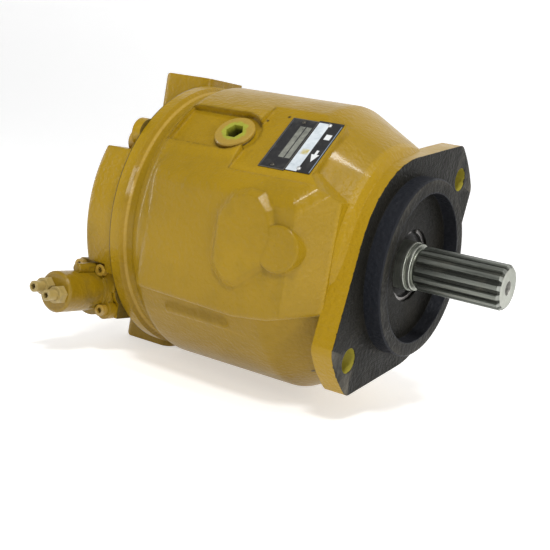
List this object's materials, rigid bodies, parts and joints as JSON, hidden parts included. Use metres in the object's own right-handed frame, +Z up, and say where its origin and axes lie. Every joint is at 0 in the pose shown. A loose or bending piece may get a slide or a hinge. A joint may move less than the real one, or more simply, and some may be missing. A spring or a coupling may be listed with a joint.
{
  "type": "axial piston pump",
  "caption": "Variable swashplate axial piston pump with a two-ear pilot flange, splined shaft, threaded ports and a cylindrical control valve.",
  "frame": {"origin": "centre of the flange's mounting face, on the shaft axis", "axes": "+X along the shaft towards its free end, +Z up through the suction port, -Y towards the control valve's side"},
  "size_m": [0.3092, 0.25, 0.215],
  "materials": {
    "housing_paint": "glossy cast paint",
    "painted_screws": "glossy paint over steel",
    "valve_paint": "glossy cast paint",
    "plug_paint": "thin paint over steel",
    "plate_dark": "printed plate",
    "plate_light": "printed plate",
    "rivet_metal": "dull",
    "seal_rubber": "matte",
    "seal_metal": "dull",
    "shaft_steel": "machined, oiled",
    "bearing_steel": "ground and polished",
    "bright_steel": "ground",
    "ground_steel": "ground",
    "spring_steel": "oiled wire",
    "swash_iron": "machined cast iron",
    "bronze": "machined"
  },
  "bodies": {
    "case": {"pump_housing": "housing_paint", "port_plate": "housing_paint", "port_plate_seal": "seal_rubber", "port_plate_screws": "painted_screws", "valve_body": "valve_paint", "valve_seals": "seal_rubber", "valve_screws": "painted_screws", "adjuster_lock_nuts": "painted_screws", "spool_end_plugs": "bright_steel", "drain_plugs": "plug_paint", "drain_plug_seals": "seal_metal", "name_plate": "plate_dark", "direction_plate": "plate_light", "plate_rivets": "rivet_metal", "shaft_seal": "seal_rubber", "seal_snap_ring": "spring_steel", "front_bearing_outer": "bearing_steel", "rear_bearing_outer": "bearing_steel", "valve_plate": "bronze", "cradle_bearings": "bronze", "bias_spring": "spring_steel", "piston_guides": "ground_steel", "pressure_spring": "spring_steel", "flow_spring": "spring_steel"},
    "rotor": {"drive_shaft": "shaft_steel", "cylinder_barrel": "ground_steel", "front_bearing_inner": "bearing_steel", "rear_bearing_inner": "bearing_steel", "ball_guide": "ground_steel", "barrel_spring": "spring_steel", "barrel_spring_seats": "ground_steel", "hold_down_pins": "ground_steel"},
    "front_cage": {"front_bearing_rollers": "bearing_steel"},
    "rear_cage": {"rear_bearing_rollers": "bearing_steel"},
    "swash": {"swashplate": "swash_iron"},
    "retainer": {"retainer_plate": "ground_steel"},
    "stroke_piston": {"control_piston": "ground_steel"},
    "return_piston": {"bias_piston": "ground_steel"},
    "cutoff_spool": {"pressure_spool": "bright_steel"},
    "sensing_spool": {"flow_spool": "bright_steel"},
    "cutoff_screw": {"pressure_adjuster": "painted_screws"},
    "sensing_screw": {"flow_adjuster": "painted_screws"},
    "piston_1": {"piston_1": "bright_steel"},
    "slipper_1": {"slipper_1": "bronze"},
    "piston_2": {"piston_2": "bright_steel"},
    "slipper_2": {"slipper_2": "bronze"},
    "piston_3": {"piston_3": "bright_steel"},
    "slipper_3": {"slipper_3": "bronze"},
    "piston_4": {"piston_4": "bright_steel"},
    "slipper_4": {"slipper_4": "bronze"},
    "piston_5": {"piston_5": "bright_steel"},
    "slipper_5": {"slipper_5": "bronze"},
    "piston_6": {"piston_6": "bright_steel"},
    "slipper_6": {"slipper_6": "bronze"},
    "piston_7": {"piston_7": "bright_steel"},
    "slipper_7": {"slipper_7": "bronze"},
    "piston_8": {"piston_8": "bright_steel"},
    "slipper_8": {"slipper_8": "bronze"},
    "piston_9": {"piston_9": "bright_steel"},
    "slipper_9": {"slipper_9": "bronze"}
  },
  "joints": [
    {"name": "shaft_spin", "type": "hinge", "parent": "case", "child": "rotor", "pos_m": [0, 0, 0], "axis": [1, 0, 0], "range_deg": [-360, 360]},
    {"name": "swash_tilt", "type": "hinge", "parent": "case", "child": "swash", "pos_m": [-0.088, 0, 0], "axis": [0, 0, -1], "range_deg": [0, 18]},
    {"name": "front_cage_spin", "type": "hinge", "parent": "case", "child": "front_cage", "pos_m": [0, 0, 0], "axis": [1, 0, 0], "range_deg": [-150, 150]},
    {"name": "rear_cage_spin", "type": "hinge", "parent": "case", "child": "rear_cage", "pos_m": [0, 0, 0], "axis": [1, 0, 0], "range_deg": [-150, 150]},
    {"name": "retainer_tilt", "type": "hinge", "parent": "rotor", "child": "retainer", "pos_m": [-0.088, 0, 0], "axis": [0, 0, -1], "range_deg": [0, 18.1]},
    {"name": "stroke_piston_slide", "type": "slide", "parent": "case", "child": "stroke_piston", "axis": [1, 0, 0], "range_m": [-0.0236, 0]},
    {"name": "return_piston_slide", "type": "slide", "parent": "case", "child": "return_piston", "axis": [1, 0, 0], "range_m": [0, 0.0236], "deforming": ["bias_spring"]},
    {"name": "cutoff_spool_slide", "type": "slide", "parent": "case", "child": "cutoff_spool", "axis": [0, -1, 0], "range_m": [-0.001, 0.001], "deforming": ["pressure_spring"]},
    {"name": "sensing_spool_slide", "type": "slide", "parent": "case", "child": "sensing_spool", "axis": [0, -1, 0], "range_m": [-0.001, 0.001], "deforming": ["flow_spring"]},
    {"name": "cutoff_screw_travel", "type": "slide", "parent": "case", "child": "cutoff_screw", "axis": [0, 1, 0], "range_m": [-0.002, 0.001]},
    {"name": "sensing_screw_travel", "type": "slide", "parent": "case", "child": "sensing_screw", "axis": [0, 1, 0], "range_m": [-0.002, 0.001]},
    {"name": "piston_1_stroke", "type": "slide", "parent": "rotor", "child": "piston_1", "axis": [1, 0, 0], "range_m": [0, 0.01287]},
    {"name": "slipper_1_tilt", "type": "hinge", "parent": "piston_1", "child": "slipper_1", "pos_m": [-0.088, 0.039, 0], "axis": [0, 0, -1], "range_deg": [0, 18.1]},
    {"name": "piston_2_stroke", "type": "slide", "parent": "rotor", "child": "piston_2", "axis": [1, 0, 0], "range_m": [0, 0.00991]},
    {"name": "slipper_2_tilt", "type": "hinge", "parent": "piston_2", "child": "slipper_2", "pos_m": [-0.088, 0.02988, 0.02507], "axis": [0, 0, -1], "range_deg": [0, 18.1]},
    {"name": "piston_3_stroke", "type": "slide", "parent": "rotor", "child": "piston_3", "axis": [1, 0, 0], "range_m": [0, 0.0024]},
    {"name": "slipper_3_tilt", "type": "hinge", "parent": "piston_3", "child": "slipper_3", "pos_m": [-0.088, 0.00677, 0.03841], "axis": [0, 0, -1], "range_deg": [0, 18.1]},
    {"name": "piston_4_stroke", "type": "slide", "parent": "rotor", "child": "piston_4", "axis": [1, 0, 0], "range_m": [-0.00654, 0]},
    {"name": "slipper_4_tilt", "type": "hinge", "parent": "piston_4", "child": "slipper_4", "pos_m": [-0.088, -0.0195, 0.03377], "axis": [0, 0, -1], "range_deg": [0, 18.1]},
    {"name": "piston_5_stroke", "type": "slide", "parent": "rotor", "child": "piston_5", "axis": [1, 0, 0], "range_m": [-0.01211, 0]},
    {"name": "slipper_5_tilt", "type": "hinge", "parent": "piston_5", "child": "slipper_5", "pos_m": [-0.088, -0.03665, 0.01334], "axis": [0, 0, -1], "range_deg": [0, 18.1]},
    {"name": "piston_6_stroke", "type": "slide", "parent": "rotor", "child": "piston_6", "axis": [1, 0, 0], "range_m": [-0.01211, 0]},
    {"name": "slipper_6_tilt", "type": "hinge", "parent": "piston_6", "child": "slipper_6", "pos_m": [-0.088, -0.03665, -0.01334], "axis": [0, 0, -1], "range_deg": [0, 18.1]},
    {"name": "piston_7_stroke", "type": "slide", "parent": "rotor", "child": "piston_7", "axis": [1, 0, 0], "range_m": [-0.00654, 0]},
    {"name": "slipper_7_tilt", "type": "hinge", "parent": "piston_7", "child": "slipper_7", "pos_m": [-0.088, -0.0195, -0.03377], "axis": [0, 0, -1], "range_deg": [0, 18.1]},
    {"name": "piston_8_stroke", "type": "slide", "parent": "rotor", "child": "piston_8", "axis": [1, 0, 0], "range_m": [0, 0.0024]},
    {"name": "slipper_8_tilt", "type": "hinge", "parent": "piston_8", "child": "slipper_8", "pos_m": [-0.088, 0.00677, -0.03841], "axis": [0, 0, -1], "range_deg": [0, 18.1]},
    {"name": "piston_9_stroke", "type": "slide", "parent": "rotor", "child": "piston_9", "axis": [1, 0, 0], "range_m": [0, 0.00991]},
    {"name": "slipper_9_tilt", "type": "hinge", "parent": "piston_9", "child": "slipper_9", "pos_m": [-0.088, 0.02988, -0.02507], "axis": [0, 0, -1], "range_deg": [0, 18.1]}
  ],
  "couplings": [
    {"joint": "front_cage_spin", "follows": "shaft_spin", "ratio": 0.41},
    {"joint": "rear_cage_spin", "follows": "shaft_spin", "ratio": 0.41},
    {"joint": "retainer_tilt", "follows": "swash_tilt", "ratio": 1},
    {"joint": "stroke_piston_slide", "follows": "swash_tilt", "m_per_rad": -0.074466},
    {"joint": "return_piston_slide", "follows": "swash_tilt", "m_per_rad": 0.074466},
    {"joint": "piston_1_stroke", "follows": "swash_tilt", "m_per_rad": 0.040336},
    {"joint": "slipper_1_tilt", "follows": "swash_tilt", "ratio": 1},
    {"joint": "piston_2_stroke", "follows": "swash_tilt", "m_per_rad": 0.030899},
    {"joint": "slipper_2_tilt", "follows": "swash_tilt", "ratio": 1},
    {"joint": "piston_3_stroke", "follows": "swash_tilt", "m_per_rad": 0.007004},
    {"joint": "slipper_3_tilt", "follows": "swash_tilt", "ratio": 1},
    {"joint": "piston_4_stroke", "follows": "swash_tilt", "m_per_rad": -0.020168},
    {"joint": "slipper_4_tilt", "follows": "swash_tilt", "ratio": 1},
    {"joint": "piston_5_stroke", "follows": "swash_tilt", "m_per_rad": -0.037903},
    {"joint": "slipper_5_tilt", "follows": "swash_tilt", "ratio": 1},
    {"joint": "piston_6_stroke", "follows": "swash_tilt", "m_per_rad": -0.037903},
    {"joint": "slipper_6_tilt", "follows": "swash_tilt", "ratio": 1},
    {"joint": "piston_7_stroke", "follows": "swash_tilt", "m_per_rad": -0.020168},
    {"joint": "slipper_7_tilt", "follows": "swash_tilt", "ratio": 1},
    {"joint": "piston_8_stroke", "follows": "swash_tilt", "m_per_rad": 0.007004},
    {"joint": "slipper_8_tilt", "follows": "swash_tilt", "ratio": 1},
    {"joint": "piston_9_stroke", "follows": "swash_tilt", "m_per_rad": 0.030899},
    {"joint": "slipper_9_tilt", "follows": "swash_tilt", "ratio": 1}
  ]
}
